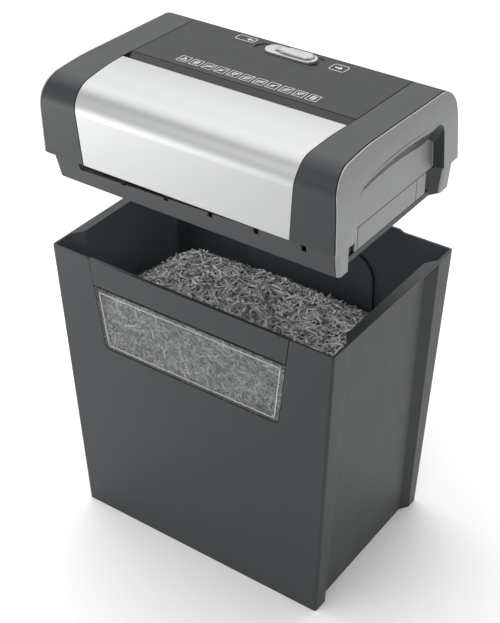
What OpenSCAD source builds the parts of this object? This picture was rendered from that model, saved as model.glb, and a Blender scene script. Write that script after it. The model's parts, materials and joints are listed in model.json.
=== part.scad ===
// Desk-side paper shredder: a head with the cutting works, lifted off its waste bin.
// Origin: centre of the bin's base. +Z up, -Y towards the user, +X to the user's right.

/* [Bin] */
// Width of the bin at its rim
bin_w = 301.2; // [299:0.2:303]
// Depth of the bin at its rim
bin_d = 200.4; // [199:0.2:202]
// Width of the bin at its base
base_w = 276; // [270:1:280]
// Depth of the bin at its base
base_d = 188; // [184:1:192]
// Height of the bin
bin_h = 305; // [300:1:310]
// Thickness of the bin's walls and floor
wall = 2.5; // [2:0.1:3]
// Radius of the bin's upright corners
corner_r = 3; // [2:0.5:5]
// Depth of the hand recess in each side of the bin, at the rim
grip_depth = 7.6; // [6:0.2:8]
// How far the middle of the back wall stands out
back_bow = 3.2; // [2:0.2:4]
// Depth of the arched recess in the back wall
arch_depth = 4; // [2:0.5:5]

/* [Window] */
// Half width of the window opening at its lower edge
window_half = 97.5; // [80:0.5:100]
// Height of the window's lower edge above the base
window_low = 209.5; // [180:0.5:220]
// Height of the joint between the window and the bridge over it
window_high = 277.5; // [270:0.5:285]

/* [Shredded paper] */
// Height of the heap along the back wall
heap_back = 208; // [190:1:220]
// Height of the heap at its top, near the front
heap_top = 273; // [250:1:274]

/* [Head] */
// Lift of the head above its seat on the bin
lift = 94; // [0:1:140]
// Width of the head over its side covers
head_w = 298; // [296:0.5:299]
// Height of the skirt under the head, which drops into the bin
skirt_h = 27; // [24:1:28]
// Thickness of the head's shells
skin = 2.5; // [2:0.1:3]
// Half width of the centre panels at the paper throat
panel_half = 112.8; // [112:0.1:113]

/* [Cutting works] */
// Distance between the two cutter shafts
shaft_gap = 26; // [26:1:26]
// Radius of the cutter discs
disc_r = 14.5; // [14:0.1:14.8]
// Thickness of a cutter disc
disc_t = 3.6; // [3:0.1:3.7]
// Distance from one disc to the next on the same shaft
disc_pitch = 8; // [8:1:8]
// Number of discs on each shaft
disc_count = 28; // [20:1:28]
// Radius of the cutter shafts
shaft_r = 5; // [4:0.5:6]

/* [Gears] */
// Gear module of every pair
gear_m = 1; // [1:1:1]
// Teeth on each synchronising gear
sync_teeth = 26; // [26:1:26]
// Teeth on each pinion
pinion_teeth = 12; // [12:1:12]
// Teeth on the gear of the rear cutter shaft
main_teeth = 40; // [40:1:40]
// Teeth on the second reduction gear
second_teeth = 32; // [32:1:32]
// Teeth on the first reduction gear
first_teeth = 38; // [38:1:38]

/* [Controls] */
// Length of the slide switch's knob
knob_l = 52; // [44:1:54]
// Width of the knob
knob_w = 17; // [14:0.5:17]

/* [Hidden] */
$fn = 48;

// Colours
charcoal = [0.21, 0.22, 0.23];
dark = [0.15, 0.16, 0.165];
silver = [0.78, 0.79, 0.8];
cover_grey = [0.6, 0.61, 0.62];
steel = [0.62, 0.63, 0.65];
black = [0.06, 0.06, 0.07];
white = [0.9, 0.9, 0.88];
nylon = [0.85, 0.84, 0.78];
brass = [0.72, 0.58, 0.3];
board_green = [0.1, 0.35, 0.2];

// Gaps
rim_gap = 0.3;
seam = 0.6;
hair = 0.02;
run = 0.05;

// The head's zero height is the lower edge of its bands
head_z = bin_h + rim_gap + lift;
half_w = head_w / 2;
rim_z = bin_h - wall;

// Throat and shafts, as [y, z] in the head
throat_y = -28.5;
throat_front = -30.9;
throat_back = -17.4;
shaft_z = 14;
front_axis = [throat_y - shaft_gap / 2, shaft_z];
rear_axis = [throat_y + shaft_gap / 2, shaft_z];

// Frame plates
plate_x = 113.5;
plate_t = 2;
bush_r = 8;
rod_r = 3;
rod_places = [[-62, 36], [-62, -9], [4, 40], [4, -9]];

// Gear train: layers along X and axes in the right-hand gearbox
sync_layer = [-122.5, -117];
layer_1 = [117, 122.6];
layer_2 = [123.6, 127];
layer_3 = [128, 131];
mesh_angle_2 = 20;
mesh_angle_1 = -25;
mesh_angle_0 = 10;
second_axis = step_out(rear_axis, gear_gap(main_teeth, pinion_teeth), mesh_angle_2);
first_axis = step_out(second_axis, gear_gap(second_teeth, pinion_teeth), mesh_angle_1);
motor_axis = step_out(first_axis, gear_gap(first_teeth, pinion_teeth), mesh_angle_0);
axle_r = 3;
rotor_r = 2;
motor_r = 27;
motor_x = [42, 111];

// Slide switch
knob_x = 2;
knob_y = 56.4;

// Interlock plunger and paper sensor
interlock_at = [130, 83.5];
plunger_travel = 3;
sensor_axis = [-36, 60];

// Inlet of the mains cord in the head's back wall, as [x, z]
cord_at = [100, 14];

// Screw bosses of the head
boss_places = [[-128, -80], [128, -80], [-126, 81], [116, 81]];

// ---- Shared functions ----

// Points along an arc
function arc(c, r, a0, a1, n) =
  [for (i = [0:n]) c + r * [cos(a0 + (a1 - a0) * i / n), sin(a0 + (a1 - a0) * i / n)]];

// A place at a distance and angle from another
function step_out(p, d, a) = p + d * [cos(a), sin(a)];

// Centre distance of two gears
function gear_gap(za, zb) = gear_m * (za + zb) / 2;

// Involute function, in degrees
function involute(r, rb) = let (a = acos(rb / r)) tan(a) * 180 / PI - a;

// Eased step from 0 to 1
function ease(t) = let (u = max(0, min(1, t))) u * u * (3 - 2 * u);

// Height of the head's top face at a depth
function top_z(y) = 73.5 - tan(1.5) * (y + 37.6);

// ---- Shared modules ----

// Solid between two outlines with the same number of points, one above the other
module loft(low, z0, high, z1) {
  n = len(low);
  polyhedron(
    points = concat([for (p = low) [p.x, p.y, z0]], [for (p = high) [p.x, p.y, z1]]),
    faces = concat(
      [[for (i = [0:n - 1]) i]],
      [[for (i = [0:n - 1]) 2 * n - 1 - i]],
      [for (i = [0:n - 1]) [i, i + n, (i + 1) % n + n, (i + 1) % n]]
    )
  );
}

// Slab of everything between two heights
module slab(z0, z1) {
  box([-200, -200, z0], [200, 200, z1]);
}

// Rounded to a hundredth, so that the faces of a loft stay flat
function neat(v) = round(v * 100) / 100;

// Quarter arc with neat offsets from its centre
function corner(c, r, a0) =
  [for (a = [a0:22.5:a0 + 90]) c + [neat(r * cos(a)), neat(r * sin(a))]];

// Turns an outline drawn in Y and Z into a solid between two X places
module along_x(x0, x1) {
  translate([x0, 0, 0]) rotate([90, 0, 90]) linear_extrude(x1 - x0) children();
}

// Turns an outline drawn in X and Z into a solid between two Y places
module along_y(y0, y1) {
  translate([0, y1, 0]) rotate([90, 0, 0]) linear_extrude(y1 - y0) children();
}

// Round bar along X
module bar_x(at, r, x0, x1) {
  along_x(x0, x1) translate(at) circle(r);
}

module box(low, high) {
  translate(low) cube(high - low);
}

module on_head() {
  translate([0, 0, head_z]) children();
}

module both_sides() {
  children();
  mirror([1, 0, 0]) children();
}

// ---- Bin ----

function bin_half_w(z) = (base_w + (bin_w - base_w) * z / bin_h) / 2;
function bin_half_d(z) = (base_d + (bin_d - base_d) * z / bin_h) / 2;

// Outline of the bin at a height, moved in from its outer faces
function bin_outline(z, inset) =
  let (
    w = bin_half_w(z) - inset,
    d = bin_half_d(z) - inset,
    r = max(corner_r - inset, 1),
    bow = 88 + (bin_half_w(z) - bin_half_w(0)) / 2
  )
  concat(
    corner([-w + r, -d + r], r, 180),
    corner([w - r, -d + r], r, 270),
    corner([w - r, d - r], r, 0),
    [[bow + 6, d], [bow, d + back_bow], [-bow, d + back_bow], [-bow - 6, d]],
    corner([-w + r, d - r], r, 90)
  );

module bin_block(inset, z0, z1) {
  intersection() {
    loft(bin_outline(-bin_h, inset), -bin_h, bin_outline(2 * bin_h, inset), 2 * bin_h);
    slab(z0, z1);
  }
}

// Outline of the right-hand hand recess at a height, grown outwards
function grip_outline(z, grow) =
  let (
    depth = grip_depth * (0.8 + 0.2 * z / bin_h),
    slant = 1.5,
    w = bin_half_w(z),
    low = w - depth - grow,
    out = w + 3,
    front = -78 + 2 * z / bin_h,
    back = 80 - 5 * z / bin_h,
    g = neat(grow * sqrt(1 + slant * slant))
  )
  [
    [low, front + slant * (depth + grow) - g],
    [out, front - slant * 3 - g],
    [out, back + slant * 3 + g],
    [low, back - slant * (depth + grow) + g]
  ];

module grip_block(grow, z0, z1) {
  both_sides() intersection() {
    loft(grip_outline(-bin_h, grow), -bin_h, grip_outline(2 * bin_h, grow), 2 * bin_h);
    slab(z0, z1);
  }
}

// Arch in the back wall
module back_arch(grow) {
  r = 24 + grow;
  top = 264 + grow;
  half = 70 + grow;
  along_y(60, 120) polygon(concat(
    [[-half - 8, -2], [half + 8, -2]],
    arc([half - r, top - r], r, 5, 90, 8),
    arc([-half + r, top - r], r, 90, 175, 8)
  ));
}

// The part of the bin's walls between two insets
module bin_skin(i0, i1) {
  difference() {
    bin_block(i0, 0, bin_h);
    bin_block(i1, -1, bin_h + 1);
  }
}

module interlock_tab(grow) {
  box([interlock_at.x - 4 - grow, 79 - grow, 1], [interlock_at.x + 4 + grow, 120, 275 + grow]);
}

function window_side(z) = window_half + (z - window_low) * 0.107;

// Opening of the window and its bridge in the front wall
module window_outline(grow, z0, z1) {
  r = 6 + grow;
  intersection() {
    polygon(concat(
      arc([-window_half + 6, window_low + 6], r, 184, 270, 6),
      arc([window_half - 6, window_low + 6], r, 270, 356, 6),
      [[window_side(bin_h + 2) + grow, bin_h + 2], [-window_side(bin_h + 2) - grow, bin_h + 2]]
    ));
    translate([-150, z0]) square([300, z1 - z0]);
  }
}

module front_slab(i0, i1, grow, z0, z1) {
  intersection() {
    bin_skin(i0, i1);
    along_y(-110, -60) window_outline(grow, z0, z1);
  }
}

// Room inside the bin, round the hand recesses, the back arch and the interlock tab
module bin_cavity() {
  difference() {
    bin_block(wall, wall, bin_h + 1);
    grip_block(wall, -1, bin_h + 2);
    intersection() {
      bin_skin(0, wall + arch_depth);
      back_arch(wall);
    }
    interlock_tab(0);
  }
}

module bin_body() {
  color(charcoal) difference() {
    bin_block(0, 0, bin_h);
    bin_cavity();
    grip_block(0, -1, rim_z);
    intersection() {
      bin_skin(-1, arch_depth);
      back_arch(0);
    }
    along_y(-110, -60) window_outline(0, 0, bin_h + 2);
  }
}

module window_bridge() {
  color(charcoal) union() {
    front_slab(0, 3.8, -seam, window_high + seam, bin_h);
    front_slab(wall + 0.1, 3.8, 4, window_high + 4, bin_h - 3);
  }
}

module window_pane() {
  color([0.85, 0.9, 0.92, 0.3]) union() {
    front_slab(0.4, 3.8, -seam, 0, window_high - seam);
    front_slab(wall + 0.1, 3.8, 4, 0, window_high - seam);
  }
}

// Height of the heap at a place in the bin
function heap_z(x, y) =
  heap_back + (heap_top - heap_back) * ease((88 - y) / 90)
  - 52 * ease((-60 - x) / 85) - 14 * ease((x - 60) / 90) * ease((y + 40) / 100)
  + 2 * sin(x * 3.1 + y * 1.7) * sin(y * 2.9);

// Heap as a block with a hilly top, on an even grid
module heap_block() {
  nx = 22;
  ny = 15;
  px = [for (i = [0:nx]) -154 + 308 * i / nx];
  py = [for (j = [0:ny]) -105 + 210 * j / ny];
  w = nx + 1;
  top = [for (y = py, x = px) [x, y, heap_z(x, y)]];
  low = [for (y = py, x = px) [x, y, 0]];
  n = len(top);
  cells = [for (j = [0:ny - 1], i = [0:nx - 1]) j * w + i];
  polyhedron(
    points = concat(top, low),
    faces = concat(
      [for (c = cells) [c, c + w, c + w + 1]],
      [for (c = cells) [c, c + w + 1, c + 1]],
      [for (c = cells) [n + c, n + c + w + 1, n + c + w]],
      [for (c = cells) [n + c, n + c + 1, n + c + w + 1]],
      [for (i = [0:nx - 1]) [i, i + 1, n + i + 1, n + i]],
      [for (i = [0:nx - 1]) let (k = ny * w + i) [k + 1, k, n + k, n + k + 1]],
      [for (j = [0:ny - 1]) let (k = j * w) [k + w, k, n + k, n + k + w]],
      [for (j = [0:ny - 1]) let (k = j * w + nx) [k, k + w, n + k + w, n + k]]
    )
  );
}

module shredded_paper() {
  color(white) difference() {
    intersection() {
      bin_block(4.6, wall + 0.1, bin_h);
      heap_block();
    }
    grip_block(wall + 1, -1, bin_h + 1);
    back_arch_room();
    interlock_tab(1);
  }
}

// Room that the arch takes up inside the bin
module back_arch_room() {
  intersection() {
    bin_skin(0, wall + arch_depth + 1);
    back_arch(wall + 1);
  }
}

// ---- Head shells ----

// Side profile of the head, moved in from its outer face, down to a height
function head_outline(t, z_low) =
  let (
    front_c = [-76.2, 47.5],
    back_c = [66.5, top_z(67) - 21],
    crown_start = step_out(step_out(front_c, 24, 95.4), 12, 5.4),
    crown_c = step_out(crown_start, 240, -84.6),
    front_foot = front_c.x - 24 + (front_c.y - z_low) * tan(1.5),
    back_foot = back_c.x + 21.2 + (back_c.y - z_low) * tan(8.6)
  )
  concat(
    [[front_foot + t, z_low]],
    [[back_foot - t, z_low]],
    arc(back_c, 21 - t, 8.6, 88.5, 16),
    arc(crown_c, 240 - t, 88.5, 95.4, 3),
    arc(front_c, 24 - t, 95.4, 181.5, 18)
  );

// Half width of the head at a height
function head_half(z) = half_w - 5 * pow(max(0, z - 35) / 38.5, 2);

// Front view of the head, moved in from its sides
function width_outline(t, z_low) =
  let (zs = concat([z_low], [for (i = [0:7]) 35 + i * 6]))
  concat(
    [for (z = zs) [head_half(z) - t, z]],
    [for (i = [len(zs) - 1:-1:0]) [-head_half(zs[i]) + t, zs[i]]]
  );

// Solid of the head's form, moved in by t at its profile and by w at its sides
module head_form(t, w, z_low) {
  intersection() {
    along_x(-160, 160) polygon(head_outline(t, z_low));
    along_y(-120, 120) polygon(width_outline(w, z_low));
  }
}

module head_skin(t0, t1, w) {
  difference() {
    head_form(t0, w, 0);
    head_form(t1, -5, -1);
  }
}

// Room of the front panel, which narrows from the throat down to its lower edge
module front_room(grow) {
  low = 104.9 + grow;
  mid = 109.6 + grow;
  intersection() {
    along_y(-120, throat_front + grow) polygon([
      [-low, -1], [low, -1], [mid, 62], [130, 64], [130, 90], [-130, 90], [-130, 64], [-mid, 62]
    ]);
    box([-130, -120, -1], [130, 0, 90]);
    linear_extrude(100) polygon([
      [-mid, -120], [mid, -120], [mid, -86], [panel_half + grow, throat_front + grow],
      [-panel_half - grow, throat_front + grow], [-mid, -86]
    ]);
  }
}

// Room of the top panels and the throat
module top_room(grow, front, back) {
  box([-panel_half - grow, front - grow, 55], [panel_half + grow, back + grow, 90]);
}

module upper_shell() {
  color(charcoal) on_head() difference() {
    union() {
      difference() {
        head_skin(0, skin, 2.3);
        front_room(seam);
        top_room(seam, throat_front, 74.2);
      }
      shell_flanges();
      shell_bosses();
    }
    for (p = boss_places) translate([p.x, p.y, -25]) cylinder(r = 1.55, h = 32);
    translate([cord_at.x, 70, cord_at.y]) rotate([-90, 0, 0]) cylinder(r = 6, h = 40);
  }
}

// Ledges that the front and top panels rest on
module shell_flanges() {
  intersection() {
    difference() {
      head_form(skin - 0.1, 3, 4);
      head_form(4.2, -5, 3);
    }
    difference() {
      union() {
        both_sides() box([107, -110, 4], [118, 80, 80]);
        box([-118, 72, 40], [118, 80, 80]);
      }
      box([-panel_half - 0.8, throat_front - 2.7, 50], [panel_half + 0.8, throat_back + 0.2, 90]);
    }
  }
}

module shell_bosses() {
  intersection() {
    head_form(1, 4, -30);
    for (p = boss_places) translate([p.x, p.y, -24]) cylinder(r = 4, h = 100);
  }
}

module front_panel() {
  color(silver) on_head() intersection() {
    head_skin(0, skin - 0.2, 1.9);
    front_room(0);
  }
}

module control_panel() {
  color(dark) on_head() difference() {
    union() {
      intersection() {
        head_skin(0, skin - 0.2, 1.9);
        top_room(0, throat_back, 74.2);
      }
      for (x = [-42, 46]) box([x - 2, 50, 46], [x + 2, 62, 69.5]);
    }
    translate([0, knob_y, top_z(knob_y) - 1]) stadium(70, knob_w + 1.4, 20);
    translate([0, knob_y, 60]) stadium(44, 9, 20);
  }
}

// Round-ended bar, long in X
module stadium(l, w, h) {
  linear_extrude(h) union() {
    square([l - w, w], center = true);
    for (s = [-1, 1]) translate([s * (l - w) / 2, 0]) circle(w / 2);
  }
}

// Arch of the hand recess in a side cover, grown outwards; drop lowers its top and sets its front back
function arch_outline(grow, drop) =
  let (
    front_c = [-60 + 0.7 * drop, 34 - drop],
    crown_c = [-5, -300],
    back_c = [52.5, 35 - drop],
    low = -30
  )
  concat(
    [[front_c.x - 11 - grow, low]],
    [[back_c.x + 13.4 + grow + (back_c.y - low) * tan(8), low]],
    arc(back_c, 13.5 + grow, 8, 78, 8),
    arc(crown_c, 350.5 + grow - drop, 82, 98, 6),
    arc(front_c, 11 + grow, 100, 180, 8)
  );

// Loft along X between two arches
module arch_loft(x0, drop0, x1, drop1, grow) {
  rotate([90, 0, 90]) loft(arch_outline(grow, drop0), x0, arch_outline(grow, drop1), x1);
}

module right_cover_solid() {
  pan_x = 136.6;
  difference() {
    union() {
      intersection() {
        difference() {
          along_x(100, 160) polygon(head_outline(0.2, 0));
          along_y(-120, 120) polygon(width_outline(1.6, -2));
        }
        along_y(-120, 120) polygon(width_outline(0, 0));
      }
      intersection() {
        difference() {
          along_x(100, 160) polygon(head_outline(skin + 0.3, 2));
          along_x(99, 161) polygon(head_outline(skin + 2, 1));
        }
        difference() {
          along_y(-120, 120) polygon(width_outline(1.5, 0));
          along_y(-121, 121) polygon(width_outline(5, -1));
        }
      }
      intersection() {
        arch_loft(134, 20.5, 149, 0, 2.5);
        box([pan_x, -80, 0], [148.4, 90, 60]);
      }
      box([pan_x + 0.05, -56, -21], [138.9, 58, 5]);
    }
    intersection() {
      arch_loft(136, 22, 152, -5.5, 0);
      box([139, -100, -1], [151, 100, 60]);
    }
    for (y = [-51.5, 42.5]) box([134, y - 0.4, -22], [141, y + 0.4, -1]);
  }
}

// Legs of the right-hand side cover, which run down the skirt on both sides of the hand recess
module cover_legs() {
  difference() {
    leg_layer(0);
    side_notch(138.8, 0, -skirt_h - 1, 4);
  }
  for (y = [-90, 80]) box([145.2, y, 0.1], [147.6, y + 8, 3]);
}

// Outer layer of the skirt's right-hand side; room widens it on every side
module leg_layer(room) {
  intersection() {
    difference() {
      skirt_block(-2 * room, -skirt_h - 10 * room, 3);
      skirt_block(1.4 + room, -skirt_h - 1, 4);
    }
    along_y(-100, 100) polygon([
      [143.4 - room, 4], [160, 4], [160, -skirt_h - 1], [141.7 - room, -skirt_h - 1]
    ]);
  }
}

module right_side_cover() {
  color(cover_grey) on_head() union() {
    right_cover_solid();
    cover_legs();
  }
}

module left_side_cover() {
  color(cover_grey) on_head() mirror([1, 0, 0]) union() {
    right_cover_solid();
    cover_legs();
  }
}

// Outline of the skirt under the head
function skirt_outline(w, front, back, inset) =
  let (r = max(4 - inset, 1))
  concat(
    corner([-w + inset + r, front + inset + r], r, 180),
    corner([w - inset - r, front + inset + r], r, 270),
    corner([w - inset - r, back - inset - r], r, 0),
    corner([-w + inset + r, back - inset - r], r, 90)
  );

// Block within the skirt, whose walls lean in on the way down
module skirt_block(inset, z0, z1) {
  intersection() {
    loft(
      skirt_outline(143.2, -81.5, 88.8, inset), -2 * skirt_h,
      skirt_outline(148, -99.5, 94.8, inset), skirt_h
    );
    slab(z0, z1);
  }
}

// Notch that the hand recess leaves in each side of the skirt
module side_notch(x, grow, z0, z1) {
  near = 66 + 1.5 * (x - grow - 138.8) + 1.803 * grow;
  far = near + 1.5 * (160 - x + grow);
  both_sides() translate([0, 0, z0]) linear_extrude(z1 - z0) polygon([
    [x - grow, -near], [160, -far], [160, far], [x - grow, near]
  ]);
}

// Room inside the lower housing
module housing_cavity() {
  difference() {
    skirt_block(skin, -skirt_h + skin, 5);
    side_notch(136.4, skin, -skirt_h, 6);
    for (p = boss_places) translate([p.x, p.y, -26]) cylinder(r = 5, h = 1.9);
  }
}

module lower_housing() {
  color(dark) on_head() difference() {
    union() {
      skirt_block(0, -skirt_h, 0);
      lap_rim();
    }
    housing_cavity();
    both_sides() leg_layer(run);
    side_notch(138.8, 0, -skirt_h - 1, 5);
    side_notch(136.4, 0, -21.2, 5);
    box([-112, -58, -skirt_h - 1], [112, 1, -skirt_h + skin + 1]);
    for (s = [-1, 1], x = [22.8, 68.4, 114]) box([s * x - 2.2, -97, -11], [s * x + 2.2, -85, -2.5]);
    for (p = boss_places) {
      translate([p.x, p.y, -skirt_h - 1]) cylinder(r = 1.7, h = 6);
      translate([p.x, p.y, -skirt_h - 1]) cylinder(r = 3.3, h = 2);
    }
    translate([interlock_at.x, interlock_at.y, -skirt_h - 1]) cylinder(r = 2.08, h = 6);
    for (y = [20:8:68]) box([-20, y, -skirt_h - 1], [30, y + 3, -skirt_h + skin + 1]);
  }
}

// Rim of the lower housing that laps inside the upper shell
module lap_rim() {
  intersection() {
    difference() {
      head_form(skin + 0.3, 8, -2);
      head_form(skin + 6, 12, -3);
    }
    box([-134, -110, -1.9], [134, 110, 3.5]);
    union() {
      box([-134, -110, -2], [134, -60, 4]);
      box([-134, 60, -2], [134, 110, 4]);
    }
  }
}

// ---- Throat ----

module front_throat_guide() {
  color(dark) on_head() difference() {
    along_x(-113.2, 113.2) polygon([
      [throat_front + 0.2, 70.4], [-32.8, 70.4], [-32.8, 50], [-31.2, 44], [-31.2, 31.5],
      [-29.8, 31.5], [-29.8, 45], [throat_front + 0.2, 51]
    ]);
    box([-2.4, -40, 52], [2.4, -25, 66]);
  }
}

module rear_throat_guide() {
  color(dark) on_head() along_x(-112.6, 112.6) polygon([
    [throat_back - 0.3, 72.6], [-25.7, 69], [-25.7, 55], [-27.4, 46], [-27.4, 31.5],
    [-25.8, 31.5], [-25.8, 45], [-23.9, 54.5], [-23.9, 66.8], [throat_back - 0.3, 69.6]
  ]);
}

// ---- Cutting works ----

module plate_outline(y0, y1, z0, z1) {
  translate([y0, z0]) square([y1 - y0, z1 - z0]);
}

module plate_holes() {
  for (a = [front_axis, rear_axis]) translate(a) circle(bush_r + hair);
  for (p = rod_places) translate(p) circle(rod_r + hair);
}

module left_frame_plate() {
  color(steel) on_head() along_x(-plate_x - plate_t, -plate_x) difference() {
    plate_outline(-69, 12, -18, 48);
    plate_holes();
  }
}

module right_frame_plate() {
  color(steel) on_head() along_x(plate_x, plate_x + plate_t) difference() {
    plate_outline(-69, 76, -18, 50);
    plate_holes();
    translate(motor_axis) circle(9);
    for (p = motor_screw_places()) translate(p) circle(1.8);
    for (a = [first_axis, second_axis]) translate(a) circle(axle_r + hair);
    for (p = gearbox_posts()) translate(p) circle(1.6);
  }
}

module tie_rods() {
  color(steel) on_head() for (p = rod_places) {
    bar_x(p, rod_r, -plate_x - plate_t - 3.4, plate_x + plate_t + 3.4);
  }
}

module frame_nuts() {
  color(steel) on_head() for (p = rod_places, s = [-1, 1]) {
    x = s * (plate_x + plate_t + 1.7);
    along_x(x - 1.6, x + 1.6) translate(p) difference() {
      circle(5, $fn = 6);
      circle(rod_r + hair);
    }
  }
}

module shaft_bushes() {
  color(brass) on_head() for (a = [front_axis, rear_axis], s = [-1, 1]) {
    x = s * (plate_x + plate_t / 2);
    along_x(x - 1.3, x + 1.3) translate(a) difference() {
      circle(bush_r);
      circle(shaft_r + run);
    }
  }
}

// Place of a disc on a shaft, with the rear shaft half a pitch along
function disc_x(i, rear) =
  (i - disc_count / 2) * disc_pitch + 0.2 + (rear ? disc_pitch / 2 : 0);

// Cutter disc with hooked teeth that cross-cut the strips
module cutter_disc(turn) {
  rotate(turn) difference() {
    circle(disc_r);
    circle(shaft_r + hair);
    for (k = [0:5]) rotate(k * 60) translate([disc_r - 1.4, 0]) polygon([
      [0, 0], [3, -0.6], [3, 4], [1.2, 3.6]
    ]);
  }
}

module cutter_discs(axis, rear, turn_step) {
  for (i = [0:disc_count - 1]) {
    x = disc_x(i, rear);
    along_x(x, x + disc_t) translate(axis) cutter_disc(i * turn_step);
  }
}

module spacers(axis, rear) {
  for (i = [0:disc_count - 2]) {
    x = disc_x(i, rear) + disc_t + 0.02;
    along_x(x, x + disc_pitch - disc_t - 0.04) translate(axis) difference() {
      circle(10.5);
      circle(shaft_r + hair);
    }
  }
}

// Comb whose fingers clear paper from between the discs
module comb(axis, rear, side) {
  bar = axis[0] + side * (disc_r + 1.2);
  tip = axis[0] + side * 11.4;
  along_x(-113.2, 113.2) translate([min(bar, bar + side * 4.5), 5]) square([4.5, 18]);
  for (i = [0:disc_count - 2]) {
    x = disc_x(i, rear) + disc_t + 0.6;
    low = min(tip, bar);
    along_x(x, x + disc_pitch - disc_t - 1.2) translate([low, 10]) square([abs(bar - tip) + 0.1, 8]);
  }
}

module front_comb() {
  color(steel) on_head() union() comb(front_axis, false, -1);
}

module rear_comb() {
  color(steel) on_head() mirror_comb();
}

module mirror_comb() {
  translate([0, 2 * throat_y, 0]) mirror([0, 1, 0]) union() comb(front_axis, true, -1);
}

module front_cutter_shaft() {
  color(steel) on_head() bar_x(front_axis, shaft_r, -125, plate_x + plate_t + 0.8);
}

module rear_cutter_shaft() {
  color(steel) on_head() bar_x(rear_axis, shaft_r, -125, layer_1[1] + 0.4);
}

module front_cutter_discs() {
  color(steel) on_head() cutter_discs(front_axis, false, 17);
}

module rear_cutter_discs() {
  color(steel) on_head() cutter_discs(rear_axis, true, -17);
}

module front_spacers() {
  color(steel) on_head() spacers(front_axis, false);
}

module rear_spacers() {
  color(steel) on_head() spacers(rear_axis, true);
}

// ---- Gears ----

// Outline of a spur gear with a tooth centred on its first axis
function gear_points(teeth) =
  let (
    rp = gear_m * teeth / 2,
    rb = rp * cos(20),
    ra = rp + 0.75 * gear_m,
    rf = rp - 1.05 * gear_m,
    play = 0.12,
    base = 90 / teeth - play / rp * 90 / PI + involute(rp, rb),
    r0 = max(rb, rf),
    rs = concat(rf < rb ? [rf] : [], [for (i = [0:4]) r0 + (ra - r0) * i / 4]),
    last = len(rs) - 1
  )
  [for (t = [0:teeth - 1], i = [0:2 * last + 1])
    let (
      up = i <= last,
      r = up ? rs[i] : rs[2 * last + 1 - i],
      half = base - (r > rb ? involute(r, rb) : 0)
    )
    step_out([0, 0], r, 360 * t / teeth + (up ? -half : half))
  ];

// Gear at an axis, with a tooth (or a gap) towards an angle
module gear(axis, teeth, layer, angle, gap, bore_r) {
  along_x(layer[0], layer[1]) translate(axis) difference() {
    rotate(angle + (gap ? 180 / teeth : 0)) polygon(gear_points(teeth));
    circle(bore_r);
  }
}

module front_sync_gear() {
  color(steel) on_head() gear(front_axis, sync_teeth, sync_layer, 0, false, shaft_r + hair);
}

module rear_sync_gear() {
  color(steel) on_head() gear(rear_axis, sync_teeth, sync_layer, 180, true, shaft_r + hair);
}

module main_drive_gear() {
  color(steel) on_head() gear(rear_axis, main_teeth, layer_1, mesh_angle_2, true, shaft_r + hair);
}

module second_reduction_gear() {
  color(nylon) on_head() union() {
    gear(second_axis, pinion_teeth, [layer_1[0], layer_2[0]], mesh_angle_2 + 180, false, axle_r + run);
    gear(second_axis, second_teeth, layer_2, mesh_angle_1, true, axle_r + run);
  }
}

module first_reduction_gear() {
  color(nylon) on_head() union() {
    gear(first_axis, pinion_teeth, [layer_2[0], layer_3[0]], mesh_angle_1 + 180, false, axle_r + run);
    gear(first_axis, first_teeth, layer_3, mesh_angle_0, true, axle_r + run);
  }
}

module motor_pinion() {
  color(brass) on_head() gear(
    motor_axis, pinion_teeth, [layer_3[0] - 0.3, layer_3[1] + 0.3], mesh_angle_0 + 180, false,
    rotor_r + hair
  );
}

module gear_axles() {
  color(steel) on_head() union() {
    bar_x(second_axis, axle_r, plate_x - 1.5, layer_2[1] + 0.5);
    bar_x(first_axis, axle_r, plate_x - 1.5, layer_3[1] + 2.6);
  }
}

function gearbox_posts() = [[-34, 42], [60, 42], [64, -8], [22, -12]];

module gearbox_cover() {
  x0 = layer_3[1] + 1.2;
  color(dark) on_head() difference() {
    union() {
      along_x(x0, x0 + 1.5) translate([-40, -16]) square([110, 64]);
      for (p = gearbox_posts()) bar_x(p, 4, plate_x + plate_t + hair, x0 + 1);
    }
    bar_x(first_axis, axle_r + hair, x0 - 1, x0 + 3);
    for (p = gearbox_posts()) bar_x(p, 1.2, plate_x, plate_x + 12);
  }
}

// ---- Motor ----

function motor_screw_places() = [for (s = [-1, 1]) motor_axis + [0, s * 16]];

module motor_body() {
  color(steel) on_head() difference() {
    union() {
      bar_x(motor_axis, motor_r, motor_x[0], motor_x[1]);
      bar_x(motor_axis, 8, motor_x[0] - 4, motor_x[1] + 2.3);
      for (p = motor_screw_places()) bar_x(p, 4, motor_x[1] - 1, plate_x - hair);
    }
    bar_x(motor_axis, rotor_r + run, motor_x[0] + 6, motor_x[1] + 5);
    for (p = motor_screw_places()) bar_x(p, 1.52, motor_x[1] - 6, plate_x + 1);
    for (k = [0:5]) translate([motor_x[0] - 1, motor_axis[0], motor_axis[1]])
      rotate([k * 60, 0, 0]) translate([0, 16, 0]) rotate([0, 90, 0]) cylinder(r = 3, h = 4);
  }
}

module motor_screws() {
  color(steel) on_head() for (p = motor_screw_places()) {
    bar_x(p, 1.5, motor_x[1] - 4, plate_x + plate_t + 0.5);
    bar_x(p, 3, plate_x + plate_t + hair, plate_x + plate_t + 1.4);
  }
}

module motor_rotor_shaft() {
  color(steel) on_head() bar_x(motor_axis, rotor_r, motor_x[0] + 8, layer_3[1] + 0.6);
}

// ---- Electrics ----

board_low = [-104, 22, -14];
board_high = [-34, 80, -12.4];

module circuit_board() {
  color(board_green) on_head() union() {
    box(board_low, board_high);
    for (x = [-98, -40], y = [28, 74]) translate([x, y, -24.4]) cylinder(r = 3, h = 11);
  }
}

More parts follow.
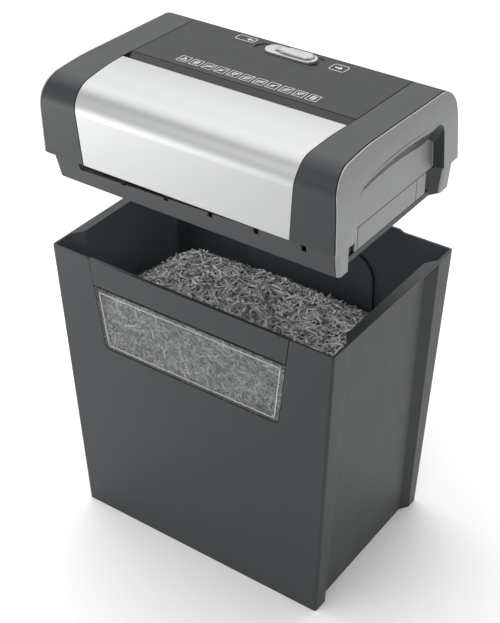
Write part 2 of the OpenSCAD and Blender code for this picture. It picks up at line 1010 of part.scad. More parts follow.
module board_components() {
  z = board_high.z + hair;
  color(black) on_head() union() {
    box([-100, 34, z], [-82, 50, z + 16]);
    box([-100, 58, z], [-76, 70, z + 12]);
    translate([-66, 38, z]) cylinder(r = 6.5, h = 18);
    box([-56, 60, z], [-46, 76, z + 9]);
    box([-46, 40, z], [-37, 58, z + 8]);
    for (i = [0:3]) translate([-74 + 6 * i, 54, z]) cylinder(r = 1.6, h = 6);
  }
}

// Solid swept through rings of points, each ring with the same number of points
module sweep(rings) {
  sides = len(rings[0]);
  last = (len(rings) - 1) * sides;
  polyhedron(
    points = [for (ring = rings, p = ring) p],
    faces = concat(
      [[for (k = [0:sides - 1]) k]],
      [[for (k = [0:sides - 1]) last + sides - 1 - k]],
      [for (i = [0:len(rings) - 2], k = [0:sides - 1])
        let (n = (k + 1) % sides)
        [i * sides + k, (i + 1) * sides + k, (i + 1) * sides + n, i * sides + n]
      ]
    )
  );
}

// Wire through a few points
module wire(route, r) {
  last = len(route) - 1;
  sweep([for (i = [0:last])
    let (
      d = route[min(i + 1, last)] - route[max(i - 1, 0)],
      u = cross(d, [0.1, 1, 0]),
      v = cross(u, d)
    )
    [for (k = [0:7]) route[i] + r * (cos(45 * k) * u / norm(u) + sin(45 * k) * v / norm(v))]
  ]);
}

module wiring_harness() {
  color("firebrick") on_head() union() {
    wire([[-36.7, 49, -8], [-6, 49, -8], [24, 53, 4], [36, 53, 17]], 1.6);
    wire([[-50.5, 60, 0], [-50.5, 60, 30], [-22, 57, 38], [-13.6, 57, 42.3]], 1.4);
  }
}

module cord_grommet() {
  color(black) on_head() translate([cord_at.x, 0, cord_at.y]) rotate([-90, 0, 0]) difference() {
    union() {
      translate([0, 0, 83]) cylinder(r = 5.9, h = 13);
      translate([0, 0, 94.5]) cylinder(r = 8, h = 1.5);
      translate([0, 0, 86]) cylinder(r = 7.5, h = 3);
    }
    translate([0, 0, 80]) cylinder(r = 3.6, h = 20);
  }
}

module slide_switch_body() {
  color(black) on_head() union() {
    box([-12, 50.4, 42], [16, 62.4, 60]);
    box([-39.8, 52, 46], [43.8, 60, 49]);
  }
}

module switch_slider() {
  color(silver) on_head() translate([knob_x, knob_y, 0]) union() {
    translate([0, 0, top_z(knob_y) - 0.6]) stadium(knob_l, knob_w, 3.2);
    translate([0, 0, top_z(knob_y) + 2.5]) stadium(knob_l - 4, knob_w - 4, 1.4);
    translate([0, 0, 62]) stadium(14, 7, 9.5);
    translate([0, 0, 62]) stadium(60, 12, 1.6);
    for (s = [-1, 1]) box([s * 3 - 1, -2, 60.4], [s * 3 + 1, 2, 62.5]);
  }
}

// ---- Interlock ----

module interlock_switch_body() {
  color(black) on_head() difference() {
    box([interlock_at.x - 5.5, 78.5, -24.3], [interlock_at.x + 5.5, 88, -3]);
    translate([interlock_at.x, interlock_at.y, -25]) cylinder(r = 4.2, h = 19);
  }
}

module interlock_plunger() {
  color(white) on_head() translate([interlock_at.x, interlock_at.y, 0]) union() {
    translate([0, 0, -skirt_h - plunger_travel]) cylinder(r = 2, h = 20);
    translate([0, 0, -22.5]) cylinder(r = 3.8, h = 1.5);
  }
}

// Helical spring
module coil(r, wire_r, turns, h) {
  steps = turns * 14;
  sweep([for (i = [0:steps])
    let (a = 360 * turns * i / steps, z = wire_r + (h - 2 * wire_r) * i / steps)
    [for (k = [0:7])
      let (b = 45 * k, q = r + wire_r * cos(b))
      [q * cos(a), q * sin(a), z + wire_r * sin(b)]
    ]
  ]);
}

module interlock_spring() {
  color(steel) on_head() translate([interlock_at.x, interlock_at.y, -20.9]) coil(3, 0.4, 5, 14.7);
}

// ---- Paper sensor ----

module sensor_body() {
  color(black) on_head() difference() {
    union() {
      box([-9, -50, 54], [9, -41, 66]);
      for (s = [-1, 1]) box([s * 3.8 - 1.4, -42, 56.5], [s * 3.8 + 1.4, -33.4, 63.5]);
    }
    bar_x(sensor_axis, 1 + hair, -10, 10);
  }
}

module sensor_pin() {
  color(steel) on_head() bar_x(sensor_axis, 1, -5.4, 5.4);
}

module paper_sensor_lever() {
  color(white) on_head() along_x(-1.8, 1.8) difference() {
    union() {
      translate(sensor_axis) circle(3);
      translate([sensor_axis[0], sensor_axis[1] - 1.1]) square([9.6, 2.2]);
    }
    translate(sensor_axis) circle(1 + run);
  }
}

// ---- Fasteners and mounts ----

module housing_screws() {
  color(steel) on_head() for (p = boss_places) translate([p.x, p.y, 0]) {
    translate([0, 0, -skirt_h + 0.2]) cylinder(r = 3, h = 0.75);
    translate([0, 0, -skirt_h + 0.2]) cylinder(r = 1.5, h = 16);
  }
}

module rubber_mounts() {
  color(black) on_head() for (p = [[-116, -63], [-116, 6], [116, -63], [116, 56]]) {
    translate([p.x, p.y, -skirt_h + skin + hair]) cylinder(r = 3.4, h = 6.4);
  }
}

bin_body();
window_bridge();
window_pane();
shredded_paper();
upper_shell();
control_panel();
front_panel();
left_side_cover();
right_side_cover();
lower_housing();
front_throat_guide();
rear_throat_guide();
left_frame_plate();
right_frame_plate();
tie_rods();
frame_nuts();
shaft_bushes();
front_comb();
rear_comb();
front_cutter_shaft();
front_cutter_discs();
front_spacers();
front_sync_gear();
rear_cutter_shaft();
rear_cutter_discs();
rear_spacers();
rear_sync_gear();
main_drive_gear();
second_reduction_gear();
first_reduction_gear();
gear_axles();
gearbox_cover();
motor_body();
motor_screws();
motor_rotor_shaft();
motor_pinion();
circuit_board();
board_components();
wiring_harness();
cord_grommet();
slide_switch_body();
switch_slider();
interlock_switch_body();
interlock_spring();
interlock_plunger();
sensor_body();
sensor_pin();
paper_sensor_lever();
housing_screws();
rubber_mounts();
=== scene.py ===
"""Looks of a desk-side paper shredder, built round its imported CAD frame. Metres, +Z up, -Y to the front."""
import json
import math
import random

import bmesh
import bpy
from mathutils import Matrix, Vector
from mathutils.bvhtree import BVHTree


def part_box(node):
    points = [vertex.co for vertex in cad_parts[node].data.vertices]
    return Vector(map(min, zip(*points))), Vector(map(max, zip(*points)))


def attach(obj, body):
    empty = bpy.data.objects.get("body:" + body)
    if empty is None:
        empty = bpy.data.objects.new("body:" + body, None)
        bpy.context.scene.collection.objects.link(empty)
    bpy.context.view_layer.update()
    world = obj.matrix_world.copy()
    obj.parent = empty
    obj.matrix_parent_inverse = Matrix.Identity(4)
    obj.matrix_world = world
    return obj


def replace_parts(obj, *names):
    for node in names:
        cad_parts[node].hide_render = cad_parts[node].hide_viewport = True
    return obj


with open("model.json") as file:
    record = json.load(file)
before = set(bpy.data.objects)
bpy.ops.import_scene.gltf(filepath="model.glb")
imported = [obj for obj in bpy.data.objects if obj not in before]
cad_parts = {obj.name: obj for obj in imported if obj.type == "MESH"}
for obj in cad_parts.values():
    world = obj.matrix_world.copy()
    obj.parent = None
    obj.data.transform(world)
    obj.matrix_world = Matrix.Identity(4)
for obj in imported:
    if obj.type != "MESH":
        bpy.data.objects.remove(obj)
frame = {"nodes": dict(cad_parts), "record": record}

MM = 0.001
SQUARE = ((-1, -1), (1, -1), (1, 1), (-1, 1))
ABOVE_ALL = 0.6
DOWN = Vector((0, 0, -1))
BACKWARD = Vector((0, 1, 0))
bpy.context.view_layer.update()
NODES = frame["nodes"]
SLOT_OF = {row["node"]: row["material_slot"] for row in frame["record"]["subparts"]}


# ---------------------------------------------------------------- camera, stage and light

CAMERA_PLACE = Vector((0.6023, -0.8540, 0.9638))
CAMERA_YAW = math.radians(35.3)
CAMERA_PITCH = math.radians(34.95)
CAMERA_ROLL = math.radians(-0.21)
CAMERA_LENS = 79.18


def make_camera():
    """Camera with the place and lens that were fitted to the picture."""
    yaw, pitch, roll = CAMERA_YAW, CAMERA_PITCH, CAMERA_ROLL
    right = Vector((math.cos(yaw), math.sin(yaw), 0))
    ahead = Vector((-math.sin(yaw) * math.cos(pitch), math.cos(yaw) * math.cos(pitch), -math.sin(pitch)))
    up = right.cross(ahead)
    tilted_right = right * math.cos(roll) + up * math.sin(roll)
    tilted_up = up * math.cos(roll) - right * math.sin(roll)
    turn = Matrix((tilted_right, tilted_up, -ahead)).transposed()
    data = bpy.data.cameras.new("camera")
    data.lens = CAMERA_LENS
    data.sensor_width = 36
    data.clip_end = 20
    camera = bpy.data.objects.new("camera", data)
    camera.matrix_world = Matrix.Translation(CAMERA_PLACE) @ turn.to_4x4()
    bpy.context.scene.collection.objects.link(camera)
    bpy.context.scene.camera = camera


def soft_box(name, place, target, size, power):
    """Soft rectangular light that faces a target."""
    data = bpy.data.lights.new(name, "AREA")
    data.shape = "RECTANGLE"
    data.size, data.size_y = size
    data.energy = power
    light = bpy.data.objects.new(name, data)
    light.location = place
    light.rotation_euler = (Vector(target) - Vector(place)).to_track_quat("-Z", "Y").to_euler()
    bpy.context.scene.collection.objects.link(light)


def make_stage():
    """White floor and surroundings, lit by soft boxes."""
    world = bpy.data.worlds.new("studio")
    world.use_nodes = True
    background = world.node_tree.nodes["Background"]
    background.inputs["Color"].default_value = (1, 1, 1, 1)
    background.inputs["Strength"].default_value = 0.55
    bpy.context.scene.world = world
    bpy.context.scene.view_settings.view_transform = "Standard"

    shape = bpy.data.meshes.new("floor")
    reach, level = 6, -0.2 * MM
    corners = [(u * reach, v * reach, level) for u, v in SQUARE]
    shape.from_pydata(corners, [], [(0, 1, 2, 3)])
    floor = bpy.data.objects.new("floor", shape)
    bpy.context.scene.collection.objects.link(floor)
    floor.data.materials.append(plain_floor())

    soft_box("top_light", (-0.8, 0.7, 2.4), (-0.1, 0.2, 0.2), (3.4, 3.8), 78)
    soft_box("low_card", (-0.78, -0.78, 0.14), (-0.12, -0.12, 0.42), (0.8, 0.5), 5)
    soft_box("front_light", (-0.3, -2.3, 1.75), (0, 0, 0.4), (3.2, 1.3), 20)
    soft_box("back_light", (0.4, 2.2, 1.2), (0, 0, 0.3), (1.6, 1.0), 3)


# ---------------------------------------------------------------- materials


def new_material(name):
    material = bpy.data.materials.new(name)
    material.use_nodes = True
    tree = material.node_tree
    return material, tree, tree.nodes["Principled BSDF"]


def plain_floor():
    material, _, shader = new_material("studio_floor")
    shader.inputs["Base Color"].default_value = (0.93, 0.93, 0.93, 1)
    shader.inputs["Roughness"].default_value = 0.9
    return material


def noise_node(tree, scale, detail, stretch=None):
    """Noise in object space, finer as scale rises; a stretch makes it finer still along some axes."""
    coords = tree.nodes.new("ShaderNodeTexCoord")
    texture = tree.nodes.new("ShaderNodeTexNoise")
    texture.inputs["Scale"].default_value = scale
    texture.inputs["Detail"].default_value = detail
    source = coords.outputs["Object"]
    if stretch:
        mapping = tree.nodes.new("ShaderNodeMapping")
        mapping.inputs["Scale"].default_value = stretch
        tree.links.new(source, mapping.inputs["Vector"])
        source = mapping.outputs["Vector"]
    tree.links.new(source, texture.inputs["Vector"])
    return texture.outputs["Fac"]


def spread(tree, source, low, high):
    """Maps the middle of a noise's values, 0.3 to 0.7, onto a range."""
    node = tree.nodes.new("ShaderNodeMapRange")
    node.inputs["From Min"].default_value = 0.3
    node.inputs["From Max"].default_value = 0.7
    node.inputs["To Min"].default_value = low
    node.inputs["To Max"].default_value = high
    tree.links.new(source, node.inputs["Value"])
    return node.outputs["Result"]


def mix_colour(tree, source, first, second):
    node = tree.nodes.new("ShaderNodeMix")
    node.data_type = "RGBA"
    node.inputs["A"].default_value = (*first, 1)
    node.inputs["B"].default_value = (*second, 1)
    tree.links.new(source, node.inputs["Factor"])
    return node.outputs["Result"]


def add_bump(tree, shader, source, height):
    node = tree.nodes.new("ShaderNodeBump")
    node.inputs["Distance"].default_value = height
    node.inputs["Strength"].default_value = 1.0
    tree.links.new(source, node.inputs["Height"])
    tree.links.new(node.outputs["Normal"], shader.inputs["Normal"])


def scaled(colour, k):
    return tuple(min(1, c * k) for c in colour)


GRAIN_SCALE = 2200
GRAIN_HEIGHT = 0.02 * MM
MOTTLE = 0.03


def moulded_plastic(name, colour, rough):
    """Plastic with a fine spark-eroded grain, a faint mottle and uneven gloss."""
    material, tree, shader = new_material(name)
    broad = noise_node(tree, 9, 2)
    tone = mix_colour(tree, broad, scaled(colour, 1 - MOTTLE), scaled(colour, 1 + MOTTLE))
    tree.links.new(tone, shader.inputs["Base Color"])
    gloss = spread(tree, noise_node(tree, 60, 3), rough - 0.02, rough + 0.02)
    tree.links.new(gloss, shader.inputs["Roughness"])
    shader.inputs["Specular IOR Level"].default_value = 0.34
    add_bump(tree, shader, noise_node(tree, GRAIN_SCALE, 2), GRAIN_HEIGHT)
    return material


def metal_paint(name, colour, rough, metallic=0.8):
    """Silver paint with a fine metal flake."""
    material, tree, shader = new_material(name)
    flake = noise_node(tree, 2600, 1)
    tone = mix_colour(tree, flake, scaled(colour, 0.93), scaled(colour, 1.05))
    tree.links.new(tone, shader.inputs["Base Color"])
    shader.inputs["Metallic"].default_value = metallic
    tree.links.new(spread(tree, flake, rough - 0.05, rough + 0.05), shader.inputs["Roughness"])
    add_bump(tree, shader, noise_node(tree, 1500, 2), 0.01 * MM)
    return material


# Hand recess in each side cover: its pan, its rim and the space that holds its walls.
PAN_X = 0.139
RIM_X = 0.1475
RECESS_FRONT = -0.062
RECESS_BACK = 0.072
RECESS_TOP = 0.455


def paint_recess_shade(piece):
    """Paints shade on the walls of the hand recess, between pan and rim, by giving them the dark shell
    plastic.
    """
    piece.data.materials.append(MATERIALS["charcoal_plastic"])
    for face in piece.data.polygons:
        place = face.center
        inside = PAN_X + 0.4 * MM < abs(place.x) < RIM_X and RECESS_FRONT < place.y < RECESS_BACK
        if inside and abs(face.normal.x) < 0.9 and place.z < RECESS_TOP:
            face.material_index = 1


def paint_inner_wall_light(piece):
    """Paints light on the bin's inner walls by giving them a slightly paler, smoother copy of the charcoal
    plastic.
    """
    piece.data.materials.append(MATERIALS["painted_inner_light"])
    for face in piece.data.polygons:
        place, normal = face.center, face.normal
        if abs(normal.z) < 0.5 and place.x * normal.x + place.y * normal.y < 0:
            face.material_index = 1


def worked_metal(name, colour, rough, stretch=(1, 30, 30)):
    """Machined or rolled metal with fine lines along one axis."""
    material, tree, shader = new_material(name)
    lines = noise_node(tree, 90, 4, stretch)
    tone = mix_colour(tree, lines, scaled(colour, 0.85), scaled(colour, 1.1))
    tree.links.new(tone, shader.inputs["Base Color"])
    shader.inputs["Metallic"].default_value = 1.0
    tree.links.new(spread(tree, lines, rough - 0.07, rough + 0.07), shader.inputs["Roughness"])
    add_bump(tree, shader, lines, 0.02 * MM)
    return material


def clear_plastic():
    material, tree, shader = new_material("clear_window")
    shader.inputs["Base Color"].default_value = (0.66, 0.68, 0.68, 1)
    shader.inputs["Transmission Weight"].default_value = 1.0
    shader.inputs["IOR"].default_value = 1.46
    tree.links.new(spread(tree, noise_node(tree, 40, 3), 0.02, 0.07), shader.inputs["Roughness"])
    return material


def paper():
    """Office paper: each strip has its own tone, from dark grey to white."""
    material, tree, shader = new_material("shredded_paper")
    tone = tree.nodes.new("ShaderNodeAttribute")
    tone.attribute_name = "tone"
    blend = mix_colour(tree, tone.outputs["Fac"], (0.16, 0.165, 0.17), (0.82, 0.82, 0.81))
    tree.links.new(blend, shader.inputs["Base Color"])
    tree.links.new(spread(tree, noise_node(tree, 500, 3), 0.75, 0.9), shader.inputs["Roughness"])
    add_bump(tree, shader, noise_node(tree, 900, 3), 0.03 * MM)
    return material


# ---------------------------------------------------------------- mesh helpers


def prism_faces(count):
    """Faces of a closed prism: its lower outline's points come first, then its upper outline's."""
    faces = [tuple(reversed(range(count))), tuple(range(count, 2 * count))]
    return faces + [(i, (i + 1) % count, (i + 1) % count + count, i + count) for i in range(count)]


def outline_prism(points, z0, z1):
    """Closed prism between two heights on an outline given anticlockwise."""
    verts = [(x, y, z0) for x, y in points] + [(x, y, z1) for x, y in points]
    return verts, prism_faces(len(points))


def mesh_of(name, parts):
    """One mesh from several lists of points and faces."""
    verts, faces = [], []
    for more_verts, more_faces in parts:
        base = len(verts)
        verts += more_verts
        faces += [tuple(i + base for i in face) for face in more_faces]
    mesh = bpy.data.meshes.new(name)
    mesh.from_pydata(verts, [], faces)
    mesh.update()
    return mesh


def link(name, mesh, body, material):
    """Adds a mesh to the scene as a piece that rides a body."""
    piece = bpy.data.objects.new(name, mesh)
    bpy.context.scene.collection.objects.link(piece)
    mesh.materials.clear()
    mesh.materials.append(material)
    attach(piece, body)
    return piece


def clean_copy(node):
    """A welded copy of a CAD node's mesh, with flat faces merged."""
    shape = bmesh.new()
    shape.from_mesh(NODES[node].data)
    bmesh.ops.remove_doubles(shape, verts=shape.verts, dist=2e-6)
    bmesh.ops.dissolve_limit(shape, angle_limit=math.radians(0.6), verts=shape.verts, edges=shape.edges)
    mesh = bpy.data.meshes.new(node + "_shape")
    shape.to_mesh(mesh)
    shape.free()
    return mesh


def apply_modifiers(piece):
    """Gives a piece the mesh that its modifiers make."""
    graph = bpy.context.evaluated_depsgraph_get()
    finished = piece.evaluated_get(graph)
    mesh = bpy.data.meshes.new_from_object(finished, preserve_all_data_layers=True, depsgraph=graph)
    piece.modifiers.clear()
    piece.data = mesh


def mark_corners(mesh, radius, angle):
    """Weights the edges to round off: corners between faces that both have room for the radius."""
    shape = bmesh.new()
    shape.from_mesh(mesh)
    weight = shape.edges.layers.float.new("bevel_weight_edge")
    for edge in shape.edges:
        bend = edge.calc_face_angle(0) if len(edge.link_faces) == 2 else 0
        if bend < math.radians(angle):
            edge.smooth = bend < math.radians(24)
            continue
        start = edge.verts[0].co
        along = (edge.verts[1].co - start).normalized()
        rooms = [max(((v.co - start) - along * (v.co - start).dot(along)).length for v in face.verts)
                 for face in edge.link_faces]
        edge.smooth = min(rooms) > 2.2 * radius
        edge[weight] = float(edge.smooth)
    shape.to_mesh(mesh)
    shape.free()


def rounded_piece(node, body, radius, angle):
    """Stands for a CAD node with its edges rounded off, so that they catch the light."""
    slot = SLOT_OF[node]
    piece = link(node + "_rounded", clean_copy(node), body, MATERIALS[slot])
    for face in piece.data.polygons:
        face.use_smooth = True
    mark_corners(piece.data, radius, angle)
    bevel = piece.modifiers.new("round", "BEVEL")
    bevel.width = radius
    bevel.segments = 3
    bevel.limit_method = "WEIGHT"
    bevel.use_clamp_overlap = False
    flat = piece.modifiers.new("flat", "WEIGHTED_NORMAL")
    flat.keep_sharp = True
    flat.weight = 90
    apply_modifiers(piece)
    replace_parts(piece, node)
    return piece


# ---------------------------------------------------------------- shredded paper

STRIP_SIZE = ((8 * MM, 15 * MM), (1.3 * MM, 2.0 * MM), 0.12 * MM)
STRIP_STEPS = 4
TOP_STRIPS = 9000
FRONT_STRIPS = 2300
HEAP_LIMIT = 277.2 * MM
WALL_ROOM = 1.0 * MM
CORE_SCALE = (0.968, 0.955, 0.974)
WINDOW_HALF_WIDTH = 0.104
WINDOW_HEIGHTS = (0.203, 0.275)


def tree_of(*nodes):
    """Search tree over the faces of several CAD nodes."""
    verts, faces = [], []
    for node in nodes:
        base = len(verts)
        mesh = NODES[node].data
        verts += [v.co.copy() for v in mesh.vertices]
        faces += [tuple(i + base for i in p.vertices) for p in mesh.polygons]
    return BVHTree.FromPolygons(verts, faces)


def strip(chance, centre, along, normal):
    """Centre line and side directions of one curled strip of paper."""
    (short, long), (thin, wide), thick = STRIP_SIZE
    length = chance.uniform(short, long)
    width = chance.uniform(thin, wide)
    curl = chance.uniform(-0.5, 0.5)
    sway = chance.uniform(-0.2, 0.2)
    twist = chance.uniform(-0.7, 0.7)
    lean = chance.uniform(-0.6, 0.6)
    across = normal.cross(along)
    rings = []
    for i in range(STRIP_STEPS + 1):
        t = i / STRIP_STEPS - 0.5
        place = centre + length * (along * t + normal * (curl * (t * t - 0.1)) + across * (sway * t * t))
        turn = Matrix.Rotation(lean + twist * t, 3, along)
        side = turn @ across * (width / 2)
        flat = turn @ normal * (thick / 2)
        rings.append([place + side + flat, place - side + flat, place - side - flat, place + side - flat])
    return rings


def strip_faces(base):
    """Faces of one strip, a closed four-sided tube whose points start at a base index."""
    faces = [(base + 3, base + 2, base + 1, base)]
    for i in range(STRIP_STEPS):
        a = base + 4 * i
        faces += [(a + k, a + (k + 1) % 4, a + (k + 1) % 4 + 4, a + k + 4) for k in range(4)]
    a = base + 4 * STRIP_STEPS
    return faces + [(a, a + 1, a + 2, a + 3)]


def clear_of(walls, rings):
    """Whether a strip stays under the heap's limit and neither nears nor crosses a wall."""
    for ring in rings:
        for point in ring:
            if point.z > HEAP_LIMIT:
                return False
        if walls.find_nearest(ring[0])[3] < WALL_ROOM or walls.find_nearest(ring[2])[3] < WALL_ROOM:
            return False
    span = rings[-1][0] - rings[0][0]
    return walls.ray_cast(rings[0][0], span.normalized(), span.length)[0] is None


def heap_core():
    """Dense middle of the heap, pulled in from the loose strips and roughened, coloured dark grey as painted
    shade in the gaps between strips.
    """
    shape = bmesh.new()
    shape.from_mesh(NODES["shredded_paper"].data)
    bmesh.ops.remove_doubles(shape, verts=shape.verts, dist=2e-6)
    for vertex in shape.verts:
        x, y, z = (v * k for v, k in zip(vertex.co, CORE_SCALE))
        vertex.co = Vector((x, y, z + 1 * MM))
    mesh = bpy.data.meshes.new("shreds_core")
    shape.to_mesh(mesh)
    shape.free()
    core = link("shreds_core", mesh, "bin", MATERIALS["painted_heap_shade"])
    refine = core.modifiers.new("fine", "REMESH")
    refine.mode = "VOXEL"
    refine.voxel_size = 2.4 * MM
    rough = core.modifiers.new("rough", "DISPLACE")
    rough.texture = bpy.data.textures.new("shred_lumps", "CLOUDS")
    rough.texture.noise_scale = 5 * MM
    rough.strength = 2.5 * MM
    rough.mid_level = 0.9
    rough.texture_coords = "GLOBAL"
    apply_modifiers(core)
    return core


def make_heap():
    """Heap of loose strips, strewn over its top and against the window, round a rough core."""
    chance = random.Random(11)
    heap = tree_of("shredded_paper")
    walls = tree_of("bin_body", "window_bridge", "window_pane")
    low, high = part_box("shredded_paper")
    verts, faces, tones = [], [], []

    def place(start, aim, spread_in, spread_out):
        hit, normal = heap.ray_cast(start, aim)[:2]
        if hit is None or normal.dot(aim) > -0.3:
            return False
        sideways = normal.orthogonal().normalized()
        along = Matrix.Rotation(chance.uniform(0, math.tau), 3, normal) @ sideways
        along = (along + normal * chance.gauss(0, 0.22)).normalized()
        upright = (normal - along * normal.dot(along)).normalized()
        rings = strip(chance, hit + normal * chance.uniform(-spread_in, spread_out), along, upright)
        if not clear_of(walls, rings):
            return False
        faces.extend(strip_faces(len(verts)))
        for ring in rings:
            verts.extend(ring)
        tones.extend([min(1, max(0, chance.gauss(0.5, 0.33)))] * (4 * STRIP_STEPS + 4))
        return True

    count = 0
    while count < TOP_STRIPS:
        start = Vector((chance.uniform(low.x, high.x), chance.uniform(low.y, high.y), high.z + 0.05))
        count += place(start, DOWN, 3 * MM, 2.2 * MM)
    count = 0
    while count < FRONT_STRIPS:
        start = Vector((chance.uniform(-WINDOW_HALF_WIDTH, WINDOW_HALF_WIDTH), low.y - 0.05,
                        chance.uniform(*WINDOW_HEIGHTS)))
        count += place(start, BACKWARD, 3.6 * MM, 0.1 * MM)

    mesh = bpy.data.meshes.new("shreds")
    mesh.from_pydata(verts, [], faces)
    tone = mesh.attributes.new("tone", "FLOAT", "POINT")
    tone.data.foreach_set("value", tones)
    shreds = link("shreds", mesh, "bin", MATERIALS["paper"])
    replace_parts(heap_core(), "shredded_paper")
    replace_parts(shreds, "shredded_paper")


# ---------------------------------------------------------------- printed marks

PRINT_HEIGHT = 0.05 * MM
PRINT_LINE = 0.5 * MM
PRINT_SINK = 0.05 * MM
PICTOGRAM_ROW = (0, 1, 5, 3, 4, 2, 5, 3, 2, 4, 1)
PICTOGRAM_SIZE = 8.6 * MM
DOT_COUNT = 4


def ribbon(points, width, closed=False):
    """Flat line of short quads through points, as separate outlines."""
    pairs = list(zip(points, points[1:] + points[:1] if closed else points[1:]))
    quads = []
    for a, b in pairs:
        a, b = Vector(a), Vector(b)
        d = (b - a).normalized() * (width / 2)
        side = Vector((-d.y, d.x))
        a, b = a - d * 0.9, b + d * 0.9
        quads.append([a - side, b - side, b + side, a + side])
    return quads


def circle_points(centre, radius, count=12):
    turns = [math.tau * i / count for i in range(count)]
    return [(centre[0] + radius * math.cos(a), centre[1] + radius * math.sin(a)) for a in turns]


def draped(outlines, surface):
    """Thin closed pieces whose tops stand just proud of the surface under them."""
    parts = []
    for outline in outlines:
        tops = []
        for x, y in outline:
            hit = surface.ray_cast(Vector((x, y, ABOVE_ALL)), DOWN)[0]
            tops.append(hit.z if hit else None)
        known = [z for z in tops if z is not None]
        tops = [z if z is not None else max(known) for z in tops]
        verts = [(x, y, z - PRINT_SINK) for (x, y), z in zip(outline, tops)]
        verts += [(x, y, z + PRINT_HEIGHT) for (x, y), z in zip(outline, tops)]
        parts.append((verts, prism_faces(len(outline))))
    return parts


def placed(outlines, centre, size):
    """Outlines of unit size, scaled and moved to a centre."""
    return [[(centre[0] + u * size, centre[1] + v * size) for u, v in outline] for outline in outlines]


def pictogram(kind):
    """Lines of one small picture, in a square from -0.5 to 0.5."""
    line = 0.075
    strike = ribbon([(-0.42, -0.42), (0.42, 0.42)], line)
    if kind == 0:
        warning = ribbon([(-0.36, -0.3), (0.36, -0.3), (0, 0.36)], line, True)
        return warning + ribbon([(0, -0.12), (0, 0.12)], line)
    if kind == 1:
        lines = ribbon([(-0.22, -0.34), (0.22, -0.34), (0.22, 0.34), (-0.22, 0.34)], line, True)
        for v in (-0.15, 0, 0.15):
            lines += ribbon([(-0.12, v), (0.12, v)], line)
        return lines
    if kind == 2:
        disc = ribbon(circle_points((0, 0), 0.3), line, True)
        return disc + ribbon(circle_points((0, 0), 0.09, 6), line, True) + strike
    if kind == 3:
        clip = [(-0.3, -0.2), (0.1, -0.2), (0.1, 0.12), (-0.2, 0.12), (-0.2, -0.06), (0.02, -0.06)]
        return ribbon(clip, line) + strike
    if kind == 4:
        fork = ribbon([(-0.3, 0.25), (0, -0.3), (0.3, 0.25)], line)
        return fork + ribbon([(-0.18, 0.3), (0.18, 0.3)], line) + strike
    return ribbon([(-0.3, -0.1), (0.3, -0.1), (0.3, 0.2), (-0.3, 0.2)], line, True) + strike


def make_prints():
    """Row of pictograms and the two boxed marks beside the slide switch, as thin raised print."""
    panel = tree_of("control_panel")
    marks = []
    first, pitch, row_y = -66.6 * MM, 13.1 * MM, -4.7 * MM
    half_w, half_d = 5.0 * MM, 5.4 * MM
    for i, kind in enumerate(PICTOGRAM_ROW):
        x = first + i * pitch
        marks += ribbon([(x - half_w, row_y - half_d), (x + half_w, row_y - half_d),
                         (x + half_w, row_y + half_d), (x - half_w, row_y + half_d)], PRINT_LINE, True)
        marks += placed(pictogram(kind), (x, row_y), PICTOGRAM_SIZE)

    right = (49.7 * MM, 57.9 * MM)
    marks += boxed(right, 7.3 * MM, 6.1 * MM) + placed(arrow(1), right, 8 * MM)
    left = (-49.8 * MM, 63.2 * MM)
    marks += boxed(left, 9.7 * MM, 4.6 * MM) + placed(arrow(-1), (left[0] + 4 * MM, left[1]), 7 * MM)
    mesh = mesh_of("panel_print", draped(marks, panel))
    link("panel_print", mesh, "head", MATERIALS["print"])

    dots = []
    for i in range(DOT_COUNT):
        centre = ((-56.5 + 4.4 * i) * MM, 55.6 * MM)
        dots.append([(centre[0] + 1.5 * MM * u, centre[1] + 1.1 * MM * v) for u, v in SQUARE])
    link("panel_dots", mesh_of("panel_dots", draped(dots, panel)), "head", MATERIALS["dark_print_and_gap_shade"])


def boxed(centre, half_w, half_d):
    """Outline of a box with its corners cut off."""
    cut = 1.6 * MM
    inner_w, inner_d = half_w - cut, half_d - cut
    corners = [(-inner_w, -half_d), (inner_w, -half_d), (half_w, -inner_d), (half_w, inner_d),
               (inner_w, half_d), (-inner_w, half_d), (-half_w, inner_d), (-half_w, -inner_d)]
    return ribbon([(centre[0] + u, centre[1] + v) for u, v in corners], 0.6 * MM, True)


def arrow(sign):
    """Arrow that points to +X or, with a sign of -1, to -X."""
    tip = [(sign * 0.4, 0), (sign * 0.02, sign * 0.36), (sign * 0.02, -sign * 0.36)]
    return [tip] + ribbon([(-sign * 0.4, 0), (sign * 0.05, 0)], 0.2)


# ---------------------------------------------------------------- window edge

EDGE_STEPS = 40
PROBE_STEP = 0.2 * MM


